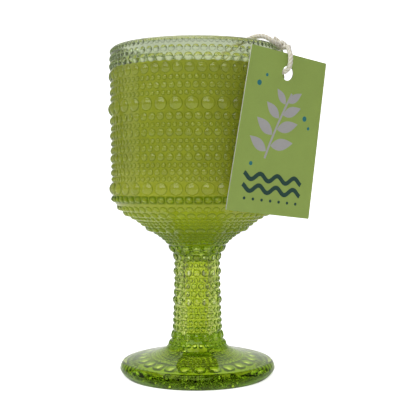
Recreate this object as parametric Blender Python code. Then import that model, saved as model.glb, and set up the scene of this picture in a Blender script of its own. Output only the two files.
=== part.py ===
"""A scented candle poured into a beaded green glass goblet, with a card tag on a cotton cord.

The goblet stands on the floor at z = 0 with its axis on Z. The camera side is -Y.
Angles round the axis are counted from -Y towards +X.
"""

import math
from dataclasses import dataclass

import bmesh
import bpy
from mathutils import Matrix, Vector

# Gap between touching pieces
GAP = 0.0003

# Goblet: main heights and radii
GOBLET_HEIGHT = 0.165
RIM_RADIUS = 0.0432
RIM_STEPS = 4
RIM_LAST_DEGREES = 15
BOWL_TOP_RADIUS = 0.0431
BOWL_TOP_HEIGHT = 0.160
BOWL_TAPER = 0.0083
STEM_RADIUS = 0.0112
STEM_SWELL_HEIGHT = 0.046
STEM_SWELL = 0.040

# Goblet: inner faces
INNER_RADIUS = 0.0387
INNER_CORNER_HEIGHT = 0.0918
INNER_CONE = [(0.0368, 0.0890), (0.0290, 0.0826), (0.0200, 0.0763), (0.0110, 0.0712)]
INNER_BOTTOM_HEIGHT = 0.0695
BORE_RADIUS = 0.0056
BORE_TOP_HEIGHT = 0.061
BORE_MOUTH_RISE = 0.0012
BORE_CROWN_DROP = 0.0004

# Beads stand as caps on the wall, in turned rows
BEAD_FILL = 0.90
BEAD_PROUD = 0.25
RIDGE_PROUD = 0.17
SMALLEST_BEAD = 0.0030
BEAD_BASE_REACH = 0.92
BOWL_SEAM = math.radians(-38)
STEM_SEAM = math.radians(-35)

# Rows of the bowl's straight wall: beads in the row, height
BOWL_ROWS = [
    (96, 0.1628), (72, 0.1591), (60, 0.1554), (48, 0.1504), (90, 0.1460), (72, 0.1424),
    (96, 0.1389), (36, 0.1341), (60, 0.1282), (96, 0.1243), (60, 0.1208), (96, 0.1168),
    (72, 0.1134), (60, 0.1094), (96, 0.1056), (72, 0.1024), (96, 0.0992), (36, 0.0945),
    (60, 0.0894),
]

# Rows of the cone under the bowl: beads in the row, wall radius, height
CONE_ROWS = [
    (60, 0.0394, 0.0848), (48, 0.0360, 0.0820), (72, 0.0327, 0.0799), (72, 0.0299, 0.0781),
    (60, 0.0277, 0.0765), (30, 0.0247, 0.0744), (48, 0.0212, 0.0722), (48, 0.0191, 0.0707),
    (42, 0.0172, 0.0692), (38, 0.0154, 0.0675),
]

# The collar of large beads between the cone and the stem
NECK_ROW = (16, 0.0131, 0.0643)

# Rows of the stem: beads in the row, height
STEM_ROWS = [
    (16, 0.0602), (28, 0.0565), (16, 0.0526), (28, 0.0490), (20, 0.0460), (20, 0.0421),
    (16, 0.0382), (28, 0.0341), (26, 0.0311), (28, 0.0278), (26, 0.0246), (16, 0.0206),
]

# The shoulder row where the stem meets the foot
SHOULDER_ROW = (30, 0.0139, 0.0166)

# Foot: smooth domed top and rounded edge, as radius and height
FOOT_TOP = [
    (0.0160, 0.0140), (0.0200, 0.0121), (0.0260, 0.0104), (0.0330, 0.0090), (0.0362, 0.0080),
]
FOOT_RADIUS = 0.0393
FOOT_EDGE_HEIGHT = 0.0038
FOOT_EDGE_STEPS = 3
FOOT_UNDERCUT = [(0.0384, 0.0022), (0.0371, 0.0008)]
CONTACT_OUTER_RADIUS = 0.0361
CONTACT_INNER_RADIUS = 0.0343

# Foot: hollow underside with one row of large beads, as radius and height
UNDERSIDE_OUTER = [(0.0335, 0.0012), (0.0306, 0.0024)]
UNDERSIDE_BEADS = (24, 0.0268, 0.0039)
UNDERSIDE_INNER = [(0.0232, 0.0042), (0.0150, 0.0064), (0.0075, 0.0090)]

# Angle under which two corners count as level
SMALL_ANGLE = math.radians(0.01)

# Sides of a plain turned ring
SIDE_LENGTH = 0.0056
FEWEST_SIDES = 16

# Wax
WAX_TOP_HEIGHT = 0.1535

# Wick, with the cord hitched round its foot
WICK_RADIUS = 0.0011
WICK_LENGTH = 0.0080
HITCH_RING_RADIUS = 0.0028
HITCH_HALF_WIDTH = 0.00125
HITCH_STEPS = 18

# Card tag: centre, size and the three turns that hang it against the bowl
TAG_CENTRE = Vector((0.03864, -0.03083, 0.12005))
TAG_WIDTH = 0.048
TAG_HEIGHT = 0.076
TAG_THICKNESS = 0.0005
TAG_TURN = math.radians(33.66)
TAG_LEAN = math.radians(4.88)
TAG_ROLL = math.radians(6.15)
TAG_HOLE_RADIUS = 0.00345
TAG_HOLE_DROP = 0.0090
TAG_HOLE_SIDES = 24

# Cotton cord, knot and the loop through the tag
CORD_DIAMETER = 0.0023
CORD_SIDES = 8
CORD_STEP = 0.0046
CURVE_PARTS = 12
KNOT_CENTRE = Vector((0.0409, -0.02375, 0.1628))
KNOT_RADII = (0.0023, 0.0023, 0.0025)
KNOT_SIDES = 14
KNOT_BANDS = 8
TAIL_ROOT = Vector((0.0403, -0.0237, 0.1634))
TAIL_TIP = Vector((0.0368, -0.0236, 0.1665))
RIM_CORD_ROUTE = [
    (0.0022, -0.0038, 0.1551), (0.0059, -0.0086, 0.1560), (0.0104, -0.0134, 0.1579),
    (0.0154, -0.0182, 0.1609), (0.0206, -0.0228, 0.1640), (0.0264, -0.0254, 0.1664),
    (0.0291, -0.0278, 0.1667), (0.0318, -0.0296, 0.1663), (0.0341, -0.0303, 0.1651),
    (0.0363, -0.0297, 0.16375), (0.0382, -0.0280, 0.1629), (0.03945, -0.0261, 0.1627),
]

# The loop's route from the knot's front to its back, in the tag's own axes from the hole's
# centre: across the card, up the card, out of the card
LOOP_ROUTE = [
    (0.0012, 0.0127, -0.0056), (0.0, 0.0125, -0.0018), (-0.0015, 0.0107, 0.0007),
    (-0.0018, 0.0083, 0.0027), (-0.0016, 0.0047, 0.0032), (-0.0013, 0.0021, 0.0020),
    (-0.0014, 0.0006, -0.0003), (-0.0021, 0.0003, -0.0029), (-0.0027, 0.0014, -0.0052),
    (-0.0026, 0.0036, -0.0068), (-0.0012, 0.0073, -0.0079), (0.0002, 0.0108, -0.0081),
]

# Finish of each piece: colour, roughness, metallic, transmission
FINISHES = {
    "glass": ((0.36, 0.52, 0.05), 0.04, 0.0, 0.8),
    "wax": ((0.40, 0.45, 0.10), 0.45, 0.0, 0.0),
    "cotton": ((0.78, 0.74, 0.62), 0.90, 0.0, 0.0),
    "card": ((0.22, 0.34, 0.10), 0.60, 0.0, 0.0),
}


@dataclass
class Ring:
    """One turned ring of the goblet: its wall point, sides, and the beads that stand on it."""
    radius: float
    height: float
    sides: int
    start: float = 0.0
    lift: tuple = (0.0, 0.0)
    beaded: bool = False


@dataclass
class Row:
    """One row of beads on a wall: how many, the wall point and the mould seam it starts from."""
    beads: int
    radius: float
    height: float
    seam: float

    @property
    def size(self):
        return BEAD_FILL * math.tau * self.radius / self.beads

    @property
    def beaded(self):
        return self.size >= SMALLEST_BEAD

    @property
    def place(self):
        return (self.radius, self.height)


def clear_scene():
    """Remove every object of the open scene."""
    for item in list(bpy.data.objects):
        bpy.data.objects.remove(item, do_unlink=True)


def material(name):
    """Make the Principled material of that name."""
    colour, roughness, metallic, transmission = FINISHES[name]
    made = bpy.data.materials.new(name)
    made.use_nodes = True
    shader = made.node_tree.nodes["Principled BSDF"]
    shader.inputs["Base Color"].default_value = (*colour, 1.0)
    shader.inputs["Roughness"].default_value = roughness
    shader.inputs["Metallic"].default_value = metallic
    shader.inputs["Transmission Weight"].default_value = transmission
    made.diffuse_color = (*colour, 1.0)
    return made


def add_object(name, mesh, finish):
    """Link a mesh to the scene as a named object with its material."""
    item = bpy.data.objects.new(name, mesh)
    bpy.context.scene.collection.objects.link(item)
    item.data.materials.append(finish)
    return item


def mesh_object(name, shape, finish, smooth_below=math.radians(40)):
    """Turn a bmesh into a named, smooth-shaded object."""
    bmesh.ops.recalc_face_normals(shape, faces=shape.faces)
    mesh = bpy.data.meshes.new(name)
    shape.to_mesh(mesh)
    shape.free()
    mesh.shade_smooth()
    mesh.set_sharp_from_angle(angle=smooth_below)
    return add_object(name, mesh, finish)


def bowl_wall(height):
    """Radius of the bowl's wall between the beads at a height."""
    return BOWL_TOP_RADIUS - BOWL_TAPER * max(0.0, BOWL_TOP_HEIGHT - height)


def stem_wall(height):
    """Radius of the stem's wall between the beads at a height."""
    return STEM_RADIUS + STEM_SWELL * max(0.0, STEM_SWELL_HEIGHT - height)


def outer_rows():
    """Every row of beads from the rim down to the foot."""
    rows = [Row(beads, bowl_wall(height), height, BOWL_SEAM) for beads, height in BOWL_ROWS]
    rows += [Row(*row, BOWL_SEAM) for row in CONE_ROWS]
    rows.append(Row(*NECK_ROW, STEM_SEAM))
    rows += [Row(beads, stem_wall(height), height, STEM_SEAM) for beads, height in STEM_ROWS]
    rows.append(Row(*SHOULDER_ROW, STEM_SEAM))
    return rows


def plain_sides(radius):
    """Number of sides of a plain ring of a radius."""
    return max(FEWEST_SIDES, 4 * round(math.tau * radius / SIDE_LENGTH / 4))


def between(one, two, share):
    """The wall point a share of the way from one row or point to another."""
    return (one[0] + share * (two[0] - one[0]), one[1] + share * (two[1] - one[1]))


def valley(upper, lower):
    """The wall point in the valley between two rows, nearer to the smaller beads."""
    return between(upper.place, lower.place, upper.size / (upper.size + lower.size))


def crest_ring(row, above, below):
    """The ring through a row's beads, lifted along the wall's normal at that height."""
    across, down = below[0] - above[0], below[1] - above[1]
    length = math.hypot(across, down)
    proud = row.size * (BEAD_PROUD if row.beaded else RIDGE_PROUD)
    sides = 2 * row.beads if row.beaded else plain_sides(row.radius)
    lift = (-down / length * proud, across / length * proud)
    return Ring(*row.place, sides, row.seam, lift, row.beaded)


def valley_rings(upper, lower):
    """Rings between two rows: the feet of their beads, or one plain ring."""
    middle = valley(upper, lower)
    if upper.beaded and lower.beaded and upper.beads == lower.beads:
        return [Ring(*middle, upper.beads, upper.seam)]
    feet = [
        Ring(*between(row.place, middle, BEAD_BASE_REACH), row.beads, row.seam)
        for row in (upper, lower) if row.beaded
    ]
    return feet or [Ring(*middle, plain_sides(middle[0]), upper.seam)]


def beaded_wall():
    """Rings of the whole outer wall, alternating rows of beads and the valleys between them."""
    rows = outer_rows()
    pairs = list(zip(rows, rows[1:]))
    edges = [(RIM_RADIUS, GOBLET_HEIGHT), *(valley(*pair) for pair in pairs), FOOT_TOP[0]]
    rings = []
    for index, row in enumerate(rows):
        rings.append(crest_ring(row, edges[index], edges[index + 1]))
        if index < len(pairs):
            rings += valley_rings(*pairs[index])
    return rings


def quarter(centre, across, up, first_degrees, last_degrees, steps):
    """Points of an elliptic arc as radius and height, without its first point."""
    points = []
    for step in range(1, steps + 1):
        turn = math.radians(first_degrees + (last_degrees - first_degrees) * step / steps)
        points.append((centre[0] + across * math.cos(turn), centre[1] + up * math.sin(turn)))
    return points


def plain_rings(points):
    """Smooth turned rings through profile points."""
    return [Ring(radius, height, plain_sides(radius)) for radius, height in points]


def inner_wall():
    """Rings of the bowl's inside, from its bottom up to the rim's inner edge."""
    points = [*reversed(INNER_CONE), (INNER_RADIUS, INNER_CORNER_HEIGHT)]
    half = (RIM_RADIUS - INNER_RADIUS) / 2
    points.append((INNER_RADIUS, GOBLET_HEIGHT - half))
    return plain_rings(points)


def rim():
    """Rings of the rounded rim, from inside to outside."""
    half = (RIM_RADIUS - INNER_RADIUS) / 2
    centre = (INNER_RADIUS + half, GOBLET_HEIGHT - half)
    return plain_rings(quarter(centre, half, half, 180, RIM_LAST_DEGREES, RIM_STEPS))


def foot():
    """Rings of the foot's top, edge, contact face and underside."""
    top_radius, top_height = FOOT_TOP[-1]
    across, drop = FOOT_RADIUS - top_radius, top_height - FOOT_EDGE_HEIGHT
    edge = quarter((top_radius, FOOT_EDGE_HEIGHT), across, drop, 90, 0, FOOT_EDGE_STEPS)
    contact = [(CONTACT_OUTER_RADIUS, 0.0), (CONTACT_INNER_RADIUS, 0.0)]
    outside = plain_rings([*FOOT_TOP, *edge, *FOOT_UNDERCUT, *contact, *UNDERSIDE_OUTER])
    beads, radius, height = UNDERSIDE_BEADS
    proud = BEAD_PROUD * BEAD_FILL * math.tau * radius / beads
    row = Ring(radius, height, 2 * beads, STEM_SEAM, (0.0, -proud), beaded=True)
    return [*outside, row, *plain_rings(UNDERSIDE_INNER)]


def bore():
    """Rings of the blind bore up the stem."""
    mouth = (BORE_RADIUS, UNDERSIDE_INNER[-1][1] + BORE_MOUTH_RISE)
    side = (BORE_RADIUS, BORE_TOP_HEIGHT - BORE_RADIUS / 2)
    crown = (BORE_RADIUS / 2, BORE_TOP_HEIGHT - BORE_CROWN_DROP)
    return plain_rings([mouth, side, crown])


def on_axis(angle, radius, height):
    """A point at an angle counted from -Y towards +X."""
    return Vector((radius * math.sin(angle), -radius * math.cos(angle), height))


def ring_corners(shape, ring):
    """Add a ring's corners, sorted by angle, with every second one lifted on a beaded ring."""
    corners = []
    for index in range(ring.sides):
        angle = (ring.start + math.tau * index / ring.sides) % math.tau
        lifted = not ring.beaded or index % 2 == 1
        radius = ring.radius + (ring.lift[0] if lifted else 0.0)
        height = ring.height + (ring.lift[1] if lifted else 0.0)
        corners.append((angle, shape.verts.new(on_axis(angle, radius, height))))
    return sorted(corners, key=lambda corner: corner[0])


def join_rings(shape, one, two):
    """Fill the band between two rings that may differ in their number of sides."""
    one_next, two_next = 0, 0
    one_loop = one + [(one[0][0] + math.tau, one[0][1])]
    two_loop = two + [(two[0][0] + math.tau, two[0][1])]
    tie = SMALL_ANGLE if len(one) < len(two) else -SMALL_ANGLE
    while one_next < len(one) or two_next < len(two):
        one_angle = one_loop[one_next + 1][0] if one_next < len(one) else math.inf
        two_angle = two_loop[two_next + 1][0] if two_next < len(two) else math.inf
        here, there = one_loop[one_next][1], two_loop[two_next][1]
        if one_angle < two_angle + tie:
            shape.faces.new((here, one_loop[one_next + 1][1], there))
            one_next += 1
        else:
            shape.faces.new((here, two_loop[two_next + 1][1], there))
            two_next += 1


def close_ring(shape, ring, height):
    """Close a ring with a fan to a point on the axis."""
    middle = shape.verts.new((0.0, 0.0, height))
    corners = [corner for _, corner in ring]
    for here, there in zip(corners, corners[1:] + corners[:1]):
        shape.faces.new((here, there, middle))


def turned_shape(rings, first_height, last_height):
    """A closed turned solid through a chain of rings, closed on the axis at both ends."""
    shape = bmesh.new()
    loops = [ring_corners(shape, ring) for ring in rings]
    for one, two in zip(loops, loops[1:]):
        join_rings(shape, one, two)
    close_ring(shape, loops[0], first_height)
    close_ring(shape, loops[-1], last_height)
    return shape


def make_goblet():
    """The goblet: bowl, stem and foot in one piece of glass."""
    rings = [*inner_wall(), *rim(), *beaded_wall(), *foot(), *bore()]
    shape = turned_shape(rings, INNER_BOTTOM_HEIGHT, BORE_TOP_HEIGHT)
    return mesh_object("goblet", shape, material("glass"))


def make_wax():
    """The wax that fills the bowl up to its flat top."""
    wall = [Ring(ring.radius - GAP, ring.height + GAP, ring.sides) for ring in inner_wall()]
    wall[-1].height = WAX_TOP_HEIGHT
    shape = turned_shape(wall, INNER_BOTTOM_HEIGHT + GAP, WAX_TOP_HEIGHT)
    return mesh_object("wax", shape, material("wax"))


def make_wick(cotton):
    """The short wick that stands on the wax at the axis."""
    foot_height = WAX_TOP_HEIGHT + GAP
    side = [(WICK_RADIUS, foot_height), (WICK_RADIUS, foot_height + WICK_LENGTH)]
    shape = turned_shape(plain_rings(side), side[0][1], side[1][1])
    return mesh_object("wick", shape, cotton)


def make_hitch(cotton):
    """The cord's hitch round the wick's foot, as a ring."""
    shape = bmesh.new()
    centre_height = WAX_TOP_HEIGHT + GAP + HITCH_HALF_WIDTH
    loops = []
    for turn in range(HITCH_STEPS):
        around = math.tau * turn / HITCH_STEPS
        loop = []
        for side in range(CORD_SIDES):
            tilt = math.tau * (side + 0.5) / CORD_SIDES
            radius = HITCH_RING_RADIUS + HITCH_HALF_WIDTH * math.cos(tilt)
            height = centre_height + HITCH_HALF_WIDTH * math.sin(tilt)
            loop.append(shape.verts.new(on_axis(around, radius, height)))
        loops.append(loop)
    for one, two in zip(loops, loops[1:] + loops[:1]):
        for side in range(CORD_SIDES):
            nearby = (side + 1) % CORD_SIDES
            shape.faces.new((one[side], one[nearby], two[nearby], two[side]))
    return mesh_object("hitch", shape, cotton)


def tag_axes():
    """The tag's own directions: across, up and out of its face."""
    across = Vector((math.cos(TAG_TURN), math.sin(TAG_TURN), 0.0))
    outward = Vector((math.sin(TAG_TURN), -math.cos(TAG_TURN), 0.0))
    up = Vector((0.0, 0.0, 1.0)) * math.cos(TAG_LEAN) + outward * math.sin(TAG_LEAN)
    lean_across = across * math.cos(TAG_ROLL) - up * math.sin(TAG_ROLL)
    lean_up = up * math.cos(TAG_ROLL) + across * math.sin(TAG_ROLL)
    return lean_across, lean_up, lean_across.cross(lean_up)


def tag_matrix():
    """The tag's place in the world, from its own axes and centre."""
    across, up, out = tag_axes()
    turn = Matrix((across, up, out)).transposed().to_4x4()
    return Matrix.Translation(TAG_CENTRE) @ turn


def tag_point(across, up, out):
    """A world point given in the tag's axes from the centre of its hole."""
    return tag_matrix() @ Vector((across, up + TAG_HEIGHT / 2 - TAG_HOLE_DROP, out))


def make_tag():
    """The card tag with its round hole."""
    shape = bmesh.new()
    half_width, half_height = TAG_WIDTH / 2, TAG_HEIGHT / 2
    outline = [
        (-half_width, -half_height), (half_width, -half_height),
        (half_width, half_height), (-half_width, half_height),
    ]
    hole = []
    for step in range(TAG_HOLE_SIDES):
        turn = math.tau * step / TAG_HOLE_SIDES
        across, up = TAG_HOLE_RADIUS * math.cos(turn), TAG_HOLE_RADIUS * math.sin(turn)
        hole.append((across, half_height - TAG_HOLE_DROP + up))
    edges = []
    for loop in (outline, hole):
        made = [shape.verts.new((x, y, -TAG_THICKNESS / 2)) for x, y in loop]
        for here, there in zip(made, made[1:] + made[:1]):
            edges.append(shape.edges.new((here, there)))
    bmesh.ops.triangle_fill(shape, use_beauty=True, edges=edges)
    back = list(shape.faces)
    raised = bmesh.ops.extrude_face_region(shape, geom=back, use_keep_orig=True)["geom"]
    raised = [item for item in raised if isinstance(item, bmesh.types.BMVert)]
    bmesh.ops.translate(shape, verts=raised, vec=(0.0, 0.0, TAG_THICKNESS))
    tag = mesh_object("tag", shape, material("card"), smooth_below=math.radians(30))
    tag.matrix_world = tag_matrix()
    return tag


def smooth_route(points, step):
    """Points a step apart on a smooth curve through a route's own points."""
    points = [Vector(point) for point in points]
    padded = [2 * points[0] - points[1], *points, 2 * points[-1] - points[-2]]
    fine = []
    for before, here, there, after in zip(padded, padded[1:], padded[2:], padded[3:]):
        for part in range(CURVE_PARTS):
            t = part / CURVE_PARTS
            pull = (there - before) * t + (2 * before - 5 * here + 4 * there - after) * t * t
            fine.append(here + 0.5 * (pull + (3 * here - before - 3 * there + after) * t ** 3))
    fine.append(points[-1])
    lengths = [0.0]
    for here, there in zip(fine, fine[1:]):
        lengths.append(lengths[-1] + (there - here).length)
    count = max(2, round(lengths[-1] / step))
    route, segment = [], 0
    for index in range(count + 1):
        target = lengths[-1] * index / count
        while segment < len(fine) - 2 and lengths[segment + 1] < target:
            segment += 1
        share = (target - lengths[segment]) / (lengths[segment + 1] - lengths[segment])
        route.append(fine[segment].lerp(fine[segment + 1], min(1.0, share)))
    return route


def make_cord(name, points, cotton):
    """A round cord along a route, as a bevelled curve with filled caps."""
    curve = bpy.data.curves.new(name, "CURVE")
    curve.dimensions = "3D"
    curve.bevel_depth = CORD_DIAMETER / 2
    curve.bevel_resolution = CORD_SIDES // 2 - 2
    curve.use_fill_caps = True
    route = smooth_route(points, CORD_STEP)
    spline = curve.splines.new("POLY")
    spline.points.add(len(route) - 1)
    for corner, place in zip(spline.points, route):
        corner.co = (*place, 1.0)
    return add_object(name, curve, cotton)


def make_knot(cotton):
    """The knot on the rim with the cord's cut end standing out of it."""
    knot = bmesh.new()
    bmesh.ops.create_uvsphere(knot, u_segments=KNOT_SIDES, v_segments=KNOT_BANDS, radius=1.0)
    bmesh.ops.scale(knot, vec=KNOT_RADII, verts=knot.verts)
    bmesh.ops.translate(knot, vec=KNOT_CENTRE, verts=knot.verts)
    body = mesh_object("knot", knot, cotton)
    tail = bmesh.new()
    run = TAIL_TIP - TAIL_ROOT
    turn = run.to_track_quat("Z", "Y").to_matrix().to_4x4()
    bmesh.ops.create_cone(
        tail, cap_ends=True, segments=CORD_SIDES, depth=run.length,
        radius1=CORD_DIAMETER / 2, radius2=CORD_DIAMETER / 2,
        matrix=Matrix.Translation(TAIL_ROOT + run / 2) @ turn,
    )
    stub = mesh_object("knot_tail", tail, cotton)
    stub.hide_render = True
    stub.display_type = "WIRE"
    union = body.modifiers.new("tail", "BOOLEAN")
    union.operation = "UNION"
    union.object = stub
    return body


def main():
    clear_scene()
    make_goblet()
    make_wax()
    cotton = material("cotton")
    make_wick(cotton)
    make_hitch(cotton)
    make_tag()
    make_cord("cord_rim", RIM_CORD_ROUTE, cotton)
    make_cord("cord_loop", [tag_point(*point) for point in LOOP_ROUTE], cotton)
    make_knot(cotton)


main()
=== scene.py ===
"""Looks of the scented candle in its beaded green goblet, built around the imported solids.

Metres, +Z up. The goblet's axis is Z, the camera side is -Y, and angles round the axis are
counted from -Y towards +X.
"""
import math

import bmesh
import bpy
from mathutils import Matrix, Quaternion, Vector, noise
from mathutils.geometry import delaunay_2d_cdt


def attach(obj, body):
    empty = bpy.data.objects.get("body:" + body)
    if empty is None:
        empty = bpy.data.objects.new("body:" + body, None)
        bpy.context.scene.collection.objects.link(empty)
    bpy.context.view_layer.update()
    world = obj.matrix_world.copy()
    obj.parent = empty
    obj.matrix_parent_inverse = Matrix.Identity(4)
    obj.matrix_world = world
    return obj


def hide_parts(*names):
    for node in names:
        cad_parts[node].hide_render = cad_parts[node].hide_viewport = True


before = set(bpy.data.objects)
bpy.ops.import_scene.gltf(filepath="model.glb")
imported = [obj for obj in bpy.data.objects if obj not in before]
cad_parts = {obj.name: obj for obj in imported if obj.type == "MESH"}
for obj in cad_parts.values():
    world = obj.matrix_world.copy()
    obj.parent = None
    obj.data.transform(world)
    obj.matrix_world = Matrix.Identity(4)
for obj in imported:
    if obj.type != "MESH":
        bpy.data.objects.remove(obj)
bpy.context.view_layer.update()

ROOT = "root"

# Camera: the photograph's place, lens and turn
CAMERA_PLACE = (0.0, -0.437, 0.0976)
CAMERA_LENS = 74.52
CAMERA_YAW = math.radians(0.73)
CAMERA_PITCH = math.radians(-1.70)
CAMERA_ROLL = math.radians(0.15)

# Goblet: main heights and radii, as in the solids
GOBLET_HEIGHT = 0.165
RIM_RADIUS = 0.0432
RIM_LAST_DEGREES = 37
BOWL_TOP_RADIUS = 0.0431
BOWL_TOP_HEIGHT = 0.160
BOWL_TAPER = 0.0083
STEM_RADIUS = 0.0112
STEM_SWELL_HEIGHT = 0.046
STEM_SWELL = 0.040
INNER_RADIUS = 0.0387
INNER_CORNER_HEIGHT = 0.0918
INNER_CONE = [(0.0368, 0.0890), (0.0290, 0.0826), (0.0200, 0.0763), (0.0110, 0.0712)]
INNER_BOTTOM_HEIGHT = 0.0695
BORE_RADIUS = 0.0056
BORE_TOP_HEIGHT = 0.061
BORE_CROWN = 0.0028
BORE_STEPS = (0.0102, 0.035)

# Beads: how much of its pitch a bead fills, how far a row's cells and the beads in them reach, the
# angle of a bead's cap, its ball's radius over its diameter, and where the rows of beads start
BEAD_FILL = 0.90
CELL_EDGE = 0.95
BEAD_REACH = 0.985
CAP_ANGLE = math.radians(53.13)
BALL_SHARE = 0.625
BOWL_SEAM = math.radians(-38)
STEM_SEAM = math.radians(-35)

# Beads larger than a diameter: their segments, and how far round the cap each ring lies
BEAD_DETAIL = [
    (0.0050, 24, (1.0, 0.93, 0.82, 0.60, 0.38, 0.18)),
    (0.0033, 16, (1.0, 0.90, 0.70, 0.35)),
    (0.0, 12, (1.0, 0.87, 0.55)),
]

# Marks of a bead's rings from its foot to its crown: 1 for an outline of painted shade, -1 for a crown
# with a painted highlight; the underside's rows give the foot painted glints
BOWL_MARKS = (0.0, 0.90, 0.0, 0.0)
DARK_MARKS = (1.0, 1.0, 0.7, 0.0)
CONE_MARKS = (0.0, 0.85, 0.0, 0.0)
STEM_MARKS = (0.35, 1.0, 0.35, -1.0)
RIM_MARKS = (0.0, 0.55, 0.0, 0.0)
SPARKLE_MARKS = (0.2, 1.0, 0.7, 0.45, -0.3, -1.0)
UNDERSIDE_PAINTED_LIGHT_MARKS = (0.2, 1.0, 0.3, -0.6)

# What a mark does to the glass: painted shade at the outlines, painted highlights in the tint and the
# reflections at the crowns; and the heights at which the marks change
BEAD_OUTLINE_PAINTED_SHADE = (0.16, 0.27, 0.05)
BEAD_CROWN_PAINTED_HIGHLIGHT = (0.98, 1.0, 0.70)
BEAD_CROWN_PAINTED_REFLECTION = (1.0, 1.0, 0.85)
DARK_ROW_HEIGHT = 0.0894
CONE_TOP_HEIGHT = 0.0860
CONE_END_HEIGHT = 0.0660
UNDERSIDE_HEIGHT = 0.0100
SPARKLING_ROW_HEIGHT = 0.0039

# Rows of the bowl's straight wall: beads in the row, height
BOWL_ROWS = [
    (96, 0.1628), (72, 0.1591), (60, 0.1554), (48, 0.1504), (90, 0.1460), (72, 0.1424),
    (96, 0.1389), (36, 0.1341), (60, 0.1282), (96, 0.1243), (60, 0.1208), (96, 0.1168),
    (72, 0.1134), (60, 0.1094), (96, 0.1056), (72, 0.1024), (96, 0.0992), (36, 0.0945),
    (60, DARK_ROW_HEIGHT),
]

# Rows of the cone under the bowl: beads in the row, wall radius, height
CONE_ROWS = [
    (60, 0.0394, 0.0848), (48, 0.0360, 0.0820), (72, 0.0327, 0.0799), (72, 0.0299, 0.0781),
    (60, 0.0277, 0.0765), (30, 0.0247, 0.0744), (48, 0.0212, 0.0722), (48, 0.0191, 0.0707),
    (42, 0.0172, 0.0692), (38, 0.0154, 0.0675),
]

# The collar between cone and stem, the stem's rows, and the shoulder over the foot
NECK_ROW = (16, 0.0131, 0.0643)
STEM_ROWS = [
    (16, 0.0602), (28, 0.0565), (16, 0.0526), (28, 0.0490), (20, 0.0460), (20, 0.0421),
    (16, 0.0382), (28, 0.0341), (26, 0.0311), (28, 0.0278), (26, 0.0246), (16, 0.0206),
]
SHOULDER_ROW = (30, 0.0139, 0.0166)

# Foot: top, edge, contact face, and the beaded underside
FOOT_TOP = [
    (0.0160, 0.0140), (0.0200, 0.0121), (0.0260, 0.0104), (0.0330, 0.0090), (0.0362, 0.0080),
]
FOOT_RADIUS = 0.0393
FOOT_EDGE_HEIGHT = 0.0038
FOOT_UNDERCUT = [(0.0384, 0.0022), (0.0371, 0.0008), (0.0361, 0.0), (0.0343, 0.0)]
UNDERSIDE_START = (0.0339, 0.0006)
UNDERSIDE_ROWS = [
    (64, 0.0323, 0.0017), (24, 0.0268, SPARKLING_ROW_HEIGHT), (56, 0.0218, 0.0046),
    (50, 0.0193, 0.0053), (44, 0.0168, 0.0059), (36, 0.0144, 0.0066), (30, 0.0121, 0.0074),
]
UNDERSIDE_END = [(0.0106, 0.0080), (0.0075, 0.0090)]

# Wax: its level, how far it reaches into the glass, its meniscus, the dish round the wick and ripples
WAX_TOP_HEIGHT = 0.1535
WAX_REACH = 0.0003
WAX_TOP_RINGS = 40
MENISCUS = 0.0007
MENISCUS_WIDTH = 0.0011
DISH_DEPTH = 0.0003
DISH_RADIUS = 0.006
RIPPLE = 0.00012
RIPPLE_SCALE = 70.0

# Card tag, as in the solids
TAG_CENTRE = Vector((0.03864, -0.03083, 0.12005))
TAG_WIDTH = 0.048
TAG_HEIGHT = 0.076
TAG_THICKNESS = 0.0005
TAG_TURN = math.radians(33.66)
TAG_LEAN = math.radians(4.88)
TAG_ROLL = math.radians(6.15)
TAG_HOLE_RADIUS = 0.00345
TAG_HOLE_DROP = 0.0090
TAG_CORNER = 0.0004
TAG_BOW = -0.0006
TAG_TWIST = -0.0014
TAG_COLUMNS = 16
TAG_ROWS = 26

# The tag's finishes, numbered in their order
PAPER, PALE, DARK, TEAL, CORE, BACK = range(6)
TAG_FINISHES = [
    ("printed_green", (0.345, 0.475, 0.100)), ("printed_pale", (0.47, 0.46, 0.46)),
    ("printed_dark", (0.012, 0.060, 0.045)), ("printed_teal", (0.022, 0.20, 0.22)),
    ("card_core", (0.62, 0.62, 0.56)), ("card_back", (0.60, 0.60, 0.55)),
]

# The print, in millimetres from the tag's middle: a sprig, whose leaves have a height on the stalk,
# a direction in degrees and a length, then waves, a row of dots, and teal dots
MM = 0.001
STALK_FOOT = (-6.5, -12)
STALK_LEAN = 0.26
STALK_BEND = 3.5
STALK_REACH = 36
STALK_WIDTH = 1.1
LEAVES = [
    (3, 150, 12.0), (6, 12, 13.5), (11, 146, 12.5), (14, 18, 13.0), (19, 142, 11.0),
    (21, 24, 11.5), (26, 134, 9.0), (27, 36, 9.5),
]
LEAF_START = 0.75
LEAF_SHARE = 0.42
LEAF_STEPS = 9
WAVE_LEVELS = (-21.0, -26.5)
WAVE_SWING = 1.5
WAVE_TURN = 0.62
WAVE_WIDTH = 2.1
DOT_LEVEL = -31.6
DOT_RADIUS = 0.75
TEAL_DOTS = [
    (-16.0, 22.0, 1.3), (-12.2, 26.2, 0.8), (14.5, 9.5, 1.3), (17.6, 5.2, 0.8), (-14.0, -15.2, 1.0),
]

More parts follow.
